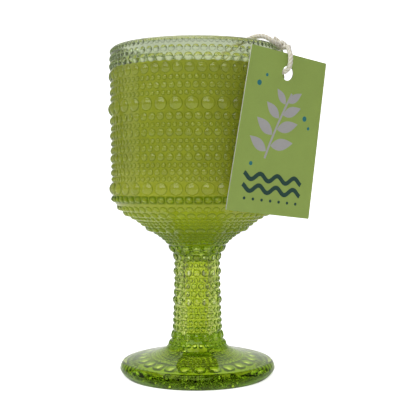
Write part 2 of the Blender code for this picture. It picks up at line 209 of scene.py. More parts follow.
# Cotton cord, as in the solids, and its twisted strands
CORD_DIAMETER = 0.0023
CORD_RADIUS = CORD_DIAMETER * 0.53
CORD_SIDES = 24
CORD_RING_STEP = 0.00035
CORD_STRANDS = 3
CORD_TWIST = 0.0052
CORD_GROOVE = 0.20
CORD_FUZZ = 0.04
CORD_FUZZ_SCALE = 900.0
SPAN_PARTS = 12
KNOT_CENTRE = Vector((0.0409, -0.02375, 0.1628))
TAIL_ROOT = Vector((0.0403, -0.0237, 0.1634))
TAIL_TIP = Vector((0.0368, -0.0236, 0.1665))
RIM_CORD_ROUTE = [
    (0.0022, -0.0038, 0.1551), (0.0059, -0.0086, 0.1560), (0.0104, -0.0134, 0.1579),
    (0.0154, -0.0182, 0.1609), (0.0206, -0.0228, 0.1640), (0.0264, -0.0254, 0.1664),
    (0.0291, -0.0278, 0.1667), (0.0318, -0.0296, 0.1663), (0.0341, -0.0303, 0.1651),
    (0.0363, -0.0297, 0.16375), (0.0382, -0.0280, 0.1629), (0.03945, -0.0261, 0.1627),
]
LOOP_ROUTE = [
    (0.0012, 0.0127, -0.0056), (0.0, 0.0125, -0.0018), (-0.0015, 0.0107, 0.0007),
    (-0.0018, 0.0083, 0.0027), (-0.0016, 0.0047, 0.0032), (-0.0013, 0.0021, 0.0020),
    (-0.0014, 0.0006, -0.0003), (-0.0021, 0.0003, -0.0029), (-0.0027, 0.0014, -0.0052),
    (-0.0026, 0.0036, -0.0068), (-0.0012, 0.0073, -0.0079), (0.0002, 0.0108, -0.0081),
]

# The knot's coil: its cord, its points, its turns, how far it swings and rises, and the cut end's fray
KNOT_CORD_RADIUS = CORD_DIAMETER * 0.46
KNOT_POINTS = 25
KNOT_START = 0.08
KNOT_TURNS = 1.62
KNOT_SWING = 0.00155
KNOT_WAVE = 0.0002
KNOT_SQUASH = 0.8
KNOT_RISE = 0.00145
FRAY = 0.08
FRAY_START = 0.85

# Wick and the cord's turn round it
WICK_RADIUS = 0.0011
WICK_LENGTH = 0.0080
WICK_STEPS = 60
WICK_ROOT = 0.0002
HITCH_RING_RADIUS = 0.0028
HITCH_RISE = 0.00155

# Studio: how far out the stage's glow starts and stops to fade, the ring under the foot that stands
# for light through the glass, and lamps with a place, a width, a height and a power
STAGE_FADE = (0.55, 1.10)
WORLD_LIGHT = 0.10
UNDER_START = (0.010, 0.020)
UNDER_FADE = (0.030, 0.037)
UNDER_GLOW = 0.95
LAMP_AIM = (0.0, 0.0, 0.10)
LAMPS = [
    ("overhead", (-0.15, 0.05, 0.95), 0.90, 0.70, 3.6),
    ("left", (-0.85, 0.10, 0.30), 0.50, 0.80, 0.7),
    ("right", (0.85, 0.10, 0.30), 0.50, 0.80, 0.3),
    ("front", (-0.34, -0.98, 0.95), 1.70, 0.75, 11.6),
]


# Small helpers for shapes

def on_axis(angle, radius, height):
    """A point at an angle counted from -Y towards +X."""
    return (radius * math.sin(angle), -radius * math.cos(angle), height)


def lerp(one, two, share):
    """The point a share of the way from one point to another."""
    return tuple(a + share * (b - a) for a, b in zip(one, two))


def curve_through(points, parts):
    """A smooth curve through points, with a number of parts in each span."""
    points = [Vector(point) for point in points]
    padded = [2 * points[0] - points[1], *points, 2 * points[-1] - points[-2]]
    fine = []
    for before, here, there, after in zip(padded, padded[1:], padded[2:], padded[3:]):
        for part in range(parts):
            t = part / parts
            pull = (there - before) * t + (2 * before - 5 * here + 4 * there - after) * t * t
            fine.append(here + 0.5 * (pull + (3 * here - before - 3 * there + after) * t ** 3))
    fine.append(points[-1])
    return fine


def even_route(points):
    """Points a ring's step apart along the smooth curve through a route's own points."""
    fine = curve_through(points, SPAN_PARTS)
    lengths = [0.0]
    for here, there in zip(fine, fine[1:]):
        lengths.append(lengths[-1] + (there - here).length)
    count = max(2, round(lengths[-1] / CORD_RING_STEP))
    route, segment = [], 0
    for index in range(count + 1):
        target = lengths[-1] * index / count
        while segment < len(fine) - 2 and lengths[segment + 1] < target:
            segment += 1
        share = (target - lengths[segment]) / (lengths[segment + 1] - lengths[segment])
        route.append(fine[segment].lerp(fine[segment + 1], min(1.0, share)))
    return route


def route_length(route):
    """Length of a chain of points."""
    return sum((there - here).length for here, there in zip(route, route[1:]))


def faces_out(mesh):
    """Turn every face of a closed mesh outwards."""
    shape = bmesh.new()
    shape.from_mesh(mesh)
    bmesh.ops.recalc_face_normals(shape, faces=shape.faces)
    shape.to_mesh(mesh)
    shape.free()


class Shell:
    """Corners and triangles of one piece while it is being made."""

    def __init__(self):
        self.corners = []
        self.faces = []
        self.marks = []

    def add(self, place, mark=0.0):
        """Add a corner and return its number."""
        self.corners.append(tuple(place))
        self.marks.append(mark)
        return len(self.corners) - 1

    def ring(self, radius, height, sides):
        """Add a turned ring of corners, as angle and number pairs sorted by angle."""
        angles = [math.tau * index / sides for index in range(sides)]
        return [(angle, self.add(on_axis(angle, radius, height))) for angle in angles]

    def zip_rings(self, one, two):
        """Fill the band between two closed rings of angle and number pairs."""
        i, j = 0, 0
        one_loop = one + [(one[0][0] + math.tau, one[0][1])]
        two_loop = two + [(two[0][0] + math.tau, two[0][1])]
        while i < len(one) or j < len(two):
            one_angle = one_loop[i + 1][0] if i < len(one) else math.inf
            two_angle = two_loop[j + 1][0] if j < len(two) else math.inf
            if one_angle < two_angle:
                self.faces.append((one_loop[i][1], one_loop[i + 1][1], two_loop[j][1]))
                i += 1
            else:
                self.faces.append((one_loop[i][1], two_loop[j + 1][1], two_loop[j][1]))
                j += 1

    def lace(self, outer, inner):
        """Fill the band between two closed loops, each with its corners spread evenly."""
        i, j = 0, 0
        outer_loop, inner_loop = outer + outer[:1], inner + inner[:1]
        while i < len(outer) or j < len(inner):
            outer_share, inner_share = (i + 0.5) / len(outer), (j + 0.5) / len(inner)
            if j >= len(inner) or (i < len(outer) and outer_share <= inner_share):
                self.faces.append((outer_loop[i], outer_loop[i + 1], inner_loop[j]))
                i += 1
            else:
                self.faces.append((outer_loop[i], inner_loop[j + 1], inner_loop[j]))
                j += 1

    def ladder(self, one, two):
        """Fill the band between two closed loops with as many corners."""
        for index in range(len(one)):
            near = (index + 1) % len(one)
            self.faces.append((one[index], one[near], two[near], two[index]))

    def fan(self, loop, place, flip=False, mark=0.0):
        """Close a loop of corner numbers with a fan to one point."""
        middle = self.add(place, mark)
        for here, there in zip(loop, loop[1:] + loop[:1]):
            self.faces.append((there, here, middle) if flip else (here, there, middle))

    def piece(self, name, materials, sharp_degrees=35, mark_name=None):
        """Make the named object, smooth-shaded apart from its sharp edges."""
        mesh = bpy.data.meshes.new(name)
        mesh.from_pydata(self.corners, [], self.faces)
        mesh.validate()
        faces_out(mesh)
        mesh.shade_smooth()
        mesh.set_sharp_from_angle(angle=math.radians(sharp_degrees))
        if mark_name:
            layer = mesh.attributes.new(mark_name, "FLOAT", "POINT")
            layer.data.foreach_set("value", self.marks)
        for finish in materials:
            mesh.materials.append(finish)
        item = bpy.data.objects.new(name, mesh)
        bpy.context.scene.collection.objects.link(item)
        return item


# Materials

def new_material(name):
    """Make a node material and return it with its tree, shader and object coordinates."""
    made = bpy.data.materials.new(name)
    made.use_nodes = True
    tree = made.node_tree
    shader = tree.nodes["Principled BSDF"]
    place = tree.nodes.new("ShaderNodeTexCoord").outputs["Object"]
    return made, tree, shader, place


def noise_node(tree, place, scale, detail=3.0, roughness=0.55):
    """A noise texture's value at a scale, in features a metre."""
    node = tree.nodes.new("ShaderNodeTexNoise")
    node.inputs["Scale"].default_value = scale
    node.inputs["Detail"].default_value = detail
    node.inputs["Roughness"].default_value = roughness
    tree.links.new(place, node.inputs["Vector"])
    return node.outputs["Fac"]


def ramp_node(tree, value, stops):
    """A colour ramp over a value."""
    node = tree.nodes.new("ShaderNodeValToRGB")
    ramp = node.color_ramp
    while len(ramp.elements) < len(stops):
        ramp.elements.new(0.5)
    for element, (place, colour) in zip(ramp.elements, stops):
        element.position = place
        element.color = (*colour, 1.0)
    tree.links.new(value, node.inputs["Fac"])
    return node.outputs["Color"]


def mix_node(tree, share, one, two, blend="MIX"):
    """Mix two colours by a share; each may be a socket or a plain value."""
    node = tree.nodes.new("ShaderNodeMix")
    node.data_type = "RGBA"
    node.blend_type = blend
    sockets = {"share": node.inputs[0], "one": node.inputs[6], "two": node.inputs[7]}
    for key, value in (("share", share), ("one", one), ("two", two)):
        if isinstance(value, (float, int)):
            sockets[key].default_value = value
        elif isinstance(value, tuple):
            sockets[key].default_value = (*value, 1.0)
        else:
            tree.links.new(value, sockets[key])
    return node.outputs[2]


def range_node(tree, value, low, high, to_low=0.0, to_high=1.0):
    """Map a value from one range to another."""
    node = tree.nodes.new("ShaderNodeMapRange")
    numbers = {"From Min": low, "From Max": high, "To Min": to_low, "To Max": to_high}
    for key, number in numbers.items():
        node.inputs[key].default_value = number
    tree.links.new(value, node.inputs["Value"])
    return node.outputs["Result"]


def bump_node(tree, shader, height, strength, distance):
    """Give a shader small relief from a height value."""
    node = tree.nodes.new("ShaderNodeBump")
    node.inputs["Strength"].default_value = strength
    node.inputs["Distance"].default_value = distance
    tree.links.new(height, node.inputs["Height"])
    tree.links.new(node.outputs["Normal"], shader.inputs["Normal"])


def height_of(tree, place):
    """The height above the floor of a place, in metres."""
    node = tree.nodes.new("ShaderNodeSeparateXYZ")
    tree.links.new(place, node.inputs["Vector"])
    return node.outputs["Z"]


def paint_bead_light(tree, colour, mark, crown, crown_colour):
    """Give a colour the beads' painted highlights on their crowns and painted shade round their
    outlines.
    """
    colour = mix_node(tree, crown, colour, crown_colour)
    dark = mix_node(tree, 1.0, colour, BEAD_OUTLINE_PAINTED_SHADE, "MULTIPLY")
    return mix_node(tree, mark, colour, dark)


def glass_material():
    """Pressed green glass: pale at the rim and deeper where it is thick, with painted shade round the
    beads' outlines and painted highlights on their crowns.

    Its ramps run up the goblet, from 0 under the foot to 1 at the rim.
    """
    made, tree, shader, place = new_material("pressed_green_glass")
    level = range_node(tree, height_of(tree, place), 0.0, GOBLET_HEIGHT)
    tint = ramp_node(tree, level, [
        (0.0, (0.22, 0.33, 0.010)), (0.05, (0.26, 0.38, 0.012)), (0.06, (0.37, 0.48, 0.016)),
        (0.09, (0.45, 0.58, 0.026)), (0.13, (0.80, 0.88, 0.20)),
        (0.34, (0.90, 0.96, 0.26)), (0.37, (0.56, 0.68, 0.05)), (0.44, (0.54, 0.68, 0.045)),
        (0.48, (0.84, 0.96, 0.12)), (0.531, (0.96, 1.0, 0.30)), (0.536, (0.70, 0.84, 0.10)),
        (0.548, (0.70, 0.84, 0.10)), (0.553, (0.96, 1.0, 0.46)), (0.60, (0.96, 1.0, 0.46)),
        (0.64, (0.88, 0.95, 0.36)), (0.90, (0.86, 0.92, 0.42)), (0.96, (0.73, 0.81, 0.57)),
        (1.0, (0.70, 0.75, 0.60)),
    ])
    cloud = range_node(tree, noise_node(tree, place, 60.0), 0.3, 0.7, 0.94, 1.0)
    tint = mix_node(tree, 1.0, tint, cloud, "MULTIPLY")
    # Painted shade round the beads' outlines and painted highlights on their crowns, from the marks on
    # the goblet's corners
    edge = tree.nodes.new("ShaderNodeAttribute")
    edge.attribute_name = "bead_painted_light"
    mark = edge.outputs["Fac"]
    crown = range_node(tree, mark, 0.0, -1.0)
    tint = paint_bead_light(tree, tint, mark, crown, BEAD_CROWN_PAINTED_HIGHLIGHT)
    tree.links.new(tint, shader.inputs["Base Color"])
    shader.inputs["Roughness"].default_value = 0.03
    shader.inputs["IOR"].default_value = 1.5
    # Tint of the reflections: greener low on the goblet, darkened on the foot as painted shade so that
    # the painted glints on the underside's bead crowns stand out, then the beads' painted shade and
    # highlights
    sheen = ramp_node(tree, level, [
        (0.042, (0.45, 0.60, 0.12)), (0.050, (0.80, 0.92, 0.42)), (0.10, (0.80, 0.92, 0.42)),
        (0.45, (1.0, 1.0, 1.0)),
    ])
    sheen = paint_bead_light(tree, sheen, mark, crown, BEAD_CROWN_PAINTED_REFLECTION)
    tree.links.new(sheen, shader.inputs["Specular Tint"])
    # The rim's top lets less light through and shows its pale tint: a painted highlight along the rim
    clear = range_node(tree, level, 0.984, 0.999, 1.0, 0.62)
    tree.links.new(clear, shader.inputs["Transmission Weight"])
    bump_node(tree, shader, noise_node(tree, place, 220.0, 2.0), 0.25, 0.0004)
    # Thick glass is greener than thin glass
    depth = tree.nodes.new("ShaderNodeVolumeAbsorption")
    depth.inputs["Color"].default_value = (0.68, 0.90, 0.24, 1.0)
    depth.inputs["Density"].default_value = 22.0
    output = tree.nodes["Material Output"]
    tree.links.new(depth.outputs["Volume"], output.inputs["Volume"])
    return made


def wax_material():
    """Olive candle wax: satin, softly clouded, a little translucent."""
    made, tree, shader, place = new_material("olive_candle_wax")
    cloud = noise_node(tree, place, 55.0, 4.0)
    colour = ramp_node(tree, cloud, [
        (0.25, (0.64, 0.65, 0.085)), (0.55, (0.70, 0.70, 0.11)), (0.8, (0.76, 0.75, 0.135)),
    ])
    # Painted light: the wax in the cone under the bowl is a third lighter, fading to its own colour
    # higher up
    low = range_node(tree, height_of(tree, place), 0.084, 0.106, 1.32, 1.0)
    colour = mix_node(tree, 1.0, colour, low, "MULTIPLY")
    fine = range_node(tree, noise_node(tree, place, 900.0, 2.0), 0.35, 0.65, 0.95, 1.0)
    tree.links.new(mix_node(tree, 1.0, colour, fine, "MULTIPLY"), shader.inputs["Base Color"])
    rough = range_node(tree, noise_node(tree, place, 300.0), 0.3, 0.7, 0.32, 0.46)
    tree.links.new(rough, shader.inputs["Roughness"])
    shader.inputs["Subsurface Weight"].default_value = 0.15
    shader.inputs["Subsurface Radius"].default_value = (1.0, 0.9, 0.3)
    shader.inputs["Subsurface Scale"].default_value = 0.002
    bump_node(tree, shader, noise_node(tree, place, 140.0, 3.0), 0.3, 0.0005)
    return made


def cotton_material(name, light, shade):
    """Twisted cotton: bright on the strands, with painted shade in the grooves, finely fibrous."""
    made, tree, shader, place = new_material(name)
    groove = tree.nodes.new("ShaderNodeAttribute")
    groove.attribute_name = "groove"
    fibre = noise_node(tree, place, 2600.0, 3.0, 0.7)
    spread = range_node(tree, fibre, 0.3, 0.7, 0.86, 1.0)
    depth = range_node(tree, groove.outputs["Fac"], 0.0, 1.0)
    colour = mix_node(tree, depth, light, shade)
    tree.links.new(mix_node(tree, 1.0, colour, spread, "MULTIPLY"), shader.inputs["Base Color"])
    shader.inputs["Roughness"].default_value = 0.92
    shader.inputs["Sheen Weight"].default_value = 0.35
    shader.inputs["Sheen Roughness"].default_value = 0.6
    bump_node(tree, shader, fibre, 0.7, 0.00025)
    return made


def print_material(name, colour):
    """Matt ink or bare card with the paper's fine tooth."""
    made, tree, shader, place = new_material(name)
    tooth = noise_node(tree, place, 1800.0, 3.0, 0.6)
    cloud = noise_node(tree, place, 90.0, 2.0)
    both = mix_node(tree, 0.5, tooth, cloud)
    light = range_node(tree, both, 0.3, 0.7, 0.88, 1.0)
    tree.links.new(mix_node(tree, 1.0, colour, light, "MULTIPLY"), shader.inputs["Base Color"])
    shader.inputs["Roughness"].default_value = 0.62
    bump_node(tree, shader, tooth, 0.12, 0.00006)
    return made


def stage_material(name, colour, middle_glow, side_glow, seen_glow):
    """A plain pale surface: how it lights the object from its middle and its sides, and how the
    camera sees it. A ring under the foot lights the glass too."""
    made, tree, shader, place = new_material(name)
    shader.inputs["Base Color"].default_value = (*colour, 1.0)
    shader.inputs["Roughness"].default_value = 0.9
    shader.inputs["Specular IOR Level"].default_value = 0.1
    shader.inputs["Emission Color"].default_value = (1.0, 1.0, 1.0, 1.0)
    axes = tree.nodes.new("ShaderNodeSeparateXYZ")
    tree.links.new(place, axes.inputs["Vector"])
    width = tree.nodes.new("ShaderNodeMath")
    width.operation = "ABSOLUTE"
    tree.links.new(axes.outputs["X"], width.inputs[0])
    lit = range_node(tree, width.outputs["Value"], *STAGE_FADE, middle_glow, side_glow)
    span = tree.nodes.new("ShaderNodeVectorMath")
    span.operation = "LENGTH"
    tree.links.new(place, span.inputs[0])
    under = range_node(tree, span.outputs["Value"], *UNDER_FADE, UNDER_GLOW, 0.0)
    start = range_node(tree, span.outputs["Value"], *UNDER_START)
    under = mix_node(tree, start, (0.0, 0.0, 0.0), under)
    both = tree.nodes.new("ShaderNodeMath")
    tree.links.new(lit, both.inputs[0])
    tree.links.new(under, both.inputs[1])
    rays = tree.nodes.new("ShaderNodeLightPath")
    seen = mix_node(tree, rays.outputs["Is Camera Ray"], both.outputs["Value"], (seen_glow,) * 3)
    tree.links.new(seen, shader.inputs["Emission Strength"])
    return made


# Camera

def make_camera():
    """The camera at the photograph's place and angle."""
    data = bpy.data.cameras.new("camera")
    data.sensor_width = 36.0
    data.lens = CAMERA_LENS
    data.clip_start = 0.01
    camera = bpy.data.objects.new("camera", data)
    bpy.context.scene.collection.objects.link(camera)
    camera.location = CAMERA_PLACE
    ahead = Vector((
        math.sin(CAMERA_YAW) * math.cos(CAMERA_PITCH),
        math.cos(CAMERA_YAW) * math.cos(CAMERA_PITCH),
        math.sin(CAMERA_PITCH),
    ))
    roll = Quaternion((0.0, 0.0, 1.0), -CAMERA_ROLL)
    camera.rotation_euler = (ahead.to_track_quat("-Z", "Y") @ roll).to_euler()
    bpy.context.scene.camera = camera


# Cotton cord, knot, hitch and wick

def tag_axes():
    """The tag's own directions: across, up and out of its face."""
    across = Vector((math.cos(TAG_TURN), math.sin(TAG_TURN), 0.0))
    outward = Vector((math.sin(TAG_TURN), -math.cos(TAG_TURN), 0.0))
    up = Vector((0.0, 0.0, 1.0)) * math.cos(TAG_LEAN) + outward * math.sin(TAG_LEAN)
    lean_across = across * math.cos(TAG_ROLL) - up * math.sin(TAG_ROLL)
    lean_up = up * math.cos(TAG_ROLL) + across * math.sin(TAG_ROLL)
    return lean_across, lean_up, lean_across.cross(lean_up)


def tag_matrix():
    """The tag's place in the world, from its own axes and centre."""
    turn = Matrix(tag_axes()).transposed().to_4x4()
    return Matrix.Translation(TAG_CENTRE) @ turn


def tag_point(across, up, out):
    """A world point given in the tag's axes from the centre of its hole."""
    return tag_matrix() @ Vector((across, up + TAG_HEIGHT / 2 - TAG_HOLE_DROP, out))


def twisted_tube(name, route, finish, radius=CORD_RADIUS, closed=False, twist=CORD_TWIST,
                 strands=CORD_STRANDS, groove=CORD_GROOVE, taper=None, seed=0):
    """A tube of twisted strands along a route; its marks say how deep in a groove a corner is."""
    shell = Shell()
    count = len(route)
    side = None
    loops = []
    travelled = 0.0
    total = route_length(route)
    for index, place in enumerate(route):
        before = route[index - 1] if index or closed else route[index]
        after = route[(index + 1) % count] if index < count - 1 or closed else route[index]
        ahead = (after - before).normalized()
        if side is None:
            side = ahead.orthogonal().normalized()
        side = (side - ahead * side.dot(ahead)).normalized()
        other = ahead.cross(side)
        if index:
            travelled += (place - route[index - 1]).length
        turns = travelled / twist
        if closed:
            turns = round(total / twist * strands) / strands * travelled / total
        thick = radius * (taper(travelled, total) if taper else 1.0)
        loop = []
        for step in range(CORD_SIDES):
            angle = math.tau * step / CORD_SIDES
            wave = 0.5 + 0.5 * math.cos(strands * (angle - math.tau * turns))
            depth = (1.0 - wave) ** 2
            fuzz = noise.noise(place * CORD_FUZZ_SCALE + Vector((angle, seed, 0.0))) * CORD_FUZZ
            reach = thick * (1.0 - groove * depth + fuzz - CORD_FUZZ / 2)
            spot = place + (side * math.cos(angle) + other * math.sin(angle)) * reach
            loop.append(shell.add(spot, depth))
        loops.append(loop)
    pairs = list(zip(loops, loops[1:]))
    if closed:
        pairs.append((loops[-1], loops[0]))
    for one, two in pairs:
        shell.ladder(one, two)
    if not closed:
        for loop, place, flip in ((loops[0], route[0], True), (loops[-1], route[-1], False)):
            shell.fan(loop, place, flip)
    return shell.piece(name, [finish], sharp_degrees=80, mark_name="groove")


def hold(item, node):
    """Let a piece ride on the object and stand for a solid."""
    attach(item, ROOT)
    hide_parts(node)
    return item


make_camera()
cotton = cotton_material("cotton_cord", (0.93, 0.90, 0.79), (0.76, 0.68, 0.50))

rim_route = even_route(RIM_CORD_ROUTE)
rim_cord = hold(twisted_tube("rim_cord", rim_route, cotton), "cord_rim")
loop_route = even_route([tag_point(*point) for point in LOOP_ROUTE])
loop_cord = hold(twisted_tube("loop_cord", loop_route, cotton, seed=5), "cord_loop")


def make_hitch():
    """The cord's turn round the wick's foot."""
    steps = round(math.tau * HITCH_RING_RADIUS / CORD_RING_STEP)
    height = WAX_TOP_HEIGHT + HITCH_RISE
    turns = [math.tau * step / steps for step in range(steps)]
    route = [Vector(on_axis(turn, HITCH_RING_RADIUS, height)) for turn in turns]
    return hold(twisted_tube("hitch_ring", route, cotton, closed=True), "hitch")


def make_knot():
    """The knot on the rim: a ball of coils for a tied overhand knot."""
    ahead = (TAIL_TIP - TAIL_ROOT).normalized()
    side = ahead.cross(Vector((0.0, 0.0, 1.0))).normalized()
    up = side.cross(ahead)
    points = []
    for step in range(KNOT_POINTS + 1):
        turn = math.tau * (KNOT_START + KNOT_TURNS * step / KNOT_POINTS)
        swing = KNOT_SWING + KNOT_WAVE * math.cos(3 * turn)
        rise = KNOT_RISE * math.sin(turn * 1.5)
        place = KNOT_CENTRE + side * swing * math.cos(turn)
        points.append(place + up * swing * KNOT_SQUASH * math.sin(turn) + ahead * rise)
    coil = twisted_tube("knot_coil", even_route(points), cotton, radius=KNOT_CORD_RADIUS, seed=9)
    return hold(coil, "knot")


def frayed(here, total):
    """How much thicker the cord's cut end is at a distance along it."""
    return 1.0 + FRAY * max(0.0, here / total - FRAY_START) / (1.0 - FRAY_START)


def make_tail():
    """The cord's cut end, a little frayed."""
    way = TAIL_TIP - TAIL_ROOT
    arch = Vector((0.0, 0.0, 0.0003))
    points = [
        TAIL_ROOT - way * 0.04, TAIL_ROOT + way * 0.3 + arch, TAIL_ROOT + way * 0.7 + arch, TAIL_TIP,
    ]
    tail = twisted_tube("knot_tail", even_route(points), cotton, taper=frayed, seed=12)
    return hold(tail, "knot")


def make_wick():
    """The braided wick, stiff with wax."""
    root = WAX_TOP_HEIGHT - WICK_ROOT
    heights = [root + WICK_LENGTH * step / WICK_STEPS for step in range(WICK_STEPS + 1)]
    route = [Vector((0.0, 0.0, height)) for height in heights]
    finish = cotton_material("waxed_wick", (0.72, 0.72, 0.56), (0.42, 0.42, 0.24))
    wick = twisted_tube(
        "braided_wick", route, finish, radius=WICK_RADIUS, twist=0.0040, strands=4, groove=0.16,
    )
    hold(wick, "wick")


hitch = make_hitch()
knot = make_knot()
tail = make_tail()
make_wick()


# Goblet

def bowl_wall(height):
    """Radius of the bowl's wall between the beads at a height."""
    return BOWL_TOP_RADIUS - BOWL_TAPER * max(0.0, BOWL_TOP_HEIGHT - height)


def stem_wall(height):
    """Radius of the stem's wall between the beads at a height."""
    return STEM_RADIUS + STEM_SWELL * max(0.0, STEM_SWELL_HEIGHT - height)


def bead_size(row):
    """Diameter of the beads in a row of count, radius, height and seam."""
    return BEAD_FILL * math.tau * row[1] / row[0]


def outer_rows():
    """Every row of beads from the rim down to the foot: count, radius, height, seam."""
    rows = [(beads, bowl_wall(height), height, BOWL_SEAM) for beads, height in BOWL_ROWS]
    rows += [(*row, BOWL_SEAM) for row in CONE_ROWS]
    rows.append((*NECK_ROW, STEM_SEAM))
    rows += [(beads, stem_wall(height), height, STEM_SEAM) for beads, height in STEM_ROWS]
    rows.append((*SHOULDER_ROW, STEM_SEAM))
    return rows


def bead_detail(size):
    """Segments of a bead of a size, and how far round its cap each ring lies."""
    return next(detail for least, *detail in BEAD_DETAIL if size > least)


def bead_marks(height):
    """The marks of painted shade and painted highlight on the beads' rings, from foot to crown, in the
    row at a height.
    """
    if height == DARK_ROW_HEIGHT:
        return DARK_MARKS
    if height == SPARKLING_ROW_HEIGHT:
        return SPARKLE_MARKS
    if height < UNDERSIDE_HEIGHT:
        return UNDERSIDE_PAINTED_LIGHT_MARKS
    if height < CONE_END_HEIGHT:
        return STEM_MARKS
    if height > WAX_TOP_HEIGHT:
        return RIM_MARKS
    return CONE_MARKS if height < CONE_TOP_HEIGHT else BOWL_MARKS


def beaded_row(shell, row, top, bottom):
    """Add one row of beads in their cells and return its top and bottom border rings."""
    beads, radius, height, seam = row
    size = bead_size(row)
    place = (radius, height)
    across, down = bottom[0] - top[0], bottom[1] - top[1]
    length = math.hypot(across, down)
    normal = (-down / length, across / length)
    up_room = math.dist(place, top) * CELL_EDGE
    down_room = math.dist(place, bottom) * CELL_EDGE
    up_reach = min(size / 2, up_room * BEAD_REACH)
    down_reach = min(size / 2, down_room * BEAD_REACH)
    segments, rings = bead_detail(size)
    marks = bead_marks(height)
    ball = BALL_SHARE * size
    step = math.tau / beads

    def wall(s):
        """Radius and height of the wall, s down its profile from the row."""
        far = bottom if s >= 0 else top
        return lerp(place, far, abs(s) / math.dist(place, far))

    def lifted(middle, u, s, lift):
        """A place over the wall, u round the row from the middle of a bead."""
        r, z = wall(s)
        return on_axis(middle + u / radius, r + lift * normal[0], z + lift * normal[1])

    top_ring, bottom_ring, sides = [], [], []
    for bead in range(beads):
        gap = seam + bead * step
        for ring, s in ((top_ring, -up_room), (bottom_ring, down_room)):
            for angle in (gap, gap + step / 2):
                ring.append((angle % math.tau, shell.add(on_axis(angle, *wall(s)))))
        sides.append(shell.add(on_axis(gap, radius, height)))
    for bead in range(beads):
        following = (bead + 1) % beads
        middle = seam + (bead + 0.5) * step
        border = [
            top_ring[2 * bead + 1][1], top_ring[2 * bead][1], sides[bead], bottom_ring[2 * bead][1],
            bottom_ring[2 * bead + 1][1], bottom_ring[2 * following][1], sides[following],
            top_ring[2 * following][1],
        ]
        loops = []
        for level, reach in enumerate(rings):
            # Each ring carries its mark: painted shade at the outline, painted highlight at the crown
            mark = marks[min(level, len(marks) - 1)]
            tilt = CAP_ANGLE * reach
            share = math.sin(tilt) / math.sin(CAP_ANGLE)
            lift = ball * (math.cos(tilt) - math.cos(CAP_ANGLE))
            loop = []
            for segment in range(segments):
                turn = math.tau * segment / segments
                u = -math.sin(turn) * share * size / 2
                v = -math.cos(turn) * share
                s = v * (down_reach if v > 0 else up_reach)
                loop.append(shell.add(lifted(middle, u, s, lift), mark))
            loops.append(loop)
        shell.lace(border, loops[0])
        for one, two in zip(loops, loops[1:]):
            shell.ladder(one, two)
        crown = ball * (1 - math.cos(CAP_ANGLE))
        shell.fan(loops[-1], lifted(middle, 0.0, 0.0, crown), mark=marks[-1])
    return sorted(top_ring), sorted(bottom_ring)


def beaded_band(shell, rows, first_edge, last_edge, previous):
    """Add rows of beads one under another, joined to the ring before them; return the last ring."""
    edges = [first_edge]
    for upper, lower in zip(rows, rows[1:]):
        share = bead_size(upper) / (bead_size(upper) + bead_size(lower))
        edges.append(lerp(upper[1:3], lower[1:3], share))
    edges.append(last_edge)
    for index, row in enumerate(rows):
        top, bottom = beaded_row(shell, row, edges[index], edges[index + 1])
        shell.zip_rings(previous, top)
        previous = bottom
    return previous


def turned_band(shell, points, sides, previous):
    """Add plain turned rings after a ring; return the last ring."""
    for radius, height in points:
        ring = shell.ring(radius, height, sides)
        shell.zip_rings(previous, ring)
        previous = ring
    return previous


def arc(centre, across, up, first, last, steps):
    """Points of an elliptic arc in degrees, as radius and height, without its first point."""
    points = []
    for step in range(1, steps + 1):
        turn = math.radians(first + (last - first) * step / steps)
        points.append((centre[0] + across * math.cos(turn), centre[1] + up * math.sin(turn)))
    return points


def flat_curve(points, parts):
    """A smooth profile through points given as radius and height."""
    return [(point.x, point.y) for point in curve_through([(*point, 0.0) for point in points], parts)]


def make_goblet():
    """The goblet: bowl, stem and foot as one piece of beaded glass."""
    shell = Shell()
    hollow = [*reversed(INNER_CONE), (INNER_RADIUS, INNER_CORNER_HEIGHT)]
    half = (RIM_RADIUS - INNER_RADIUS) / 2
    rim_centre = (INNER_RADIUS + half, GOBLET_HEIGHT - half)
    first = shell.ring(*hollow[0], 64)
    shell.fan([number for _, number in first], (0.0, 0.0, INNER_BOTTOM_HEIGHT), flip=True)
    last = turned_band(shell, flat_curve(hollow, 3)[1:], 96, first)
    last = turned_band(shell, [(INNER_RADIUS, 0.125), (INNER_RADIUS, rim_centre[1])], 128, last)
    round_rim = arc(rim_centre, half, half, 180, RIM_LAST_DEGREES, 9)
    last = turned_band(shell, round_rim, 192, last)
    last = beaded_band(shell, outer_rows(), round_rim[-1], FOOT_TOP[0], last)
    top_radius, top_height = FOOT_TOP[-1]
    foot_centre = (top_radius, FOOT_EDGE_HEIGHT)
    edge = arc(foot_centre, FOOT_RADIUS - top_radius, top_height - FOOT_EDGE_HEIGHT, 90, 0, 7)
    last = turned_band(shell, [*flat_curve(FOOT_TOP, 4), *edge], 144, last)
    last = turned_band(shell, [*FOOT_UNDERCUT, UNDERSIDE_START], 144, last)
    rows = [(*row, STEM_SEAM) for row in UNDERSIDE_ROWS]
    last = beaded_band(shell, rows, UNDERSIDE_START, UNDERSIDE_END[0], last)
    bore_heights = (*BORE_STEPS, BORE_TOP_HEIGHT - BORE_CROWN)
    bore = [(BORE_RADIUS, height) for height in bore_heights]
    crown = arc((0.0, bore_heights[-1]), BORE_RADIUS, BORE_CROWN, 0, 75, 4)
    last = turned_band(shell, [*UNDERSIDE_END, *bore, *crown], 48, last)
    shell.fan([number for _, number in last], (0.0, 0.0, BORE_TOP_HEIGHT))
    return shell.piece("beaded_goblet", [glass_material()], mark_name="bead_painted_light")


hold(make_goblet(), "goblet")


# Wax

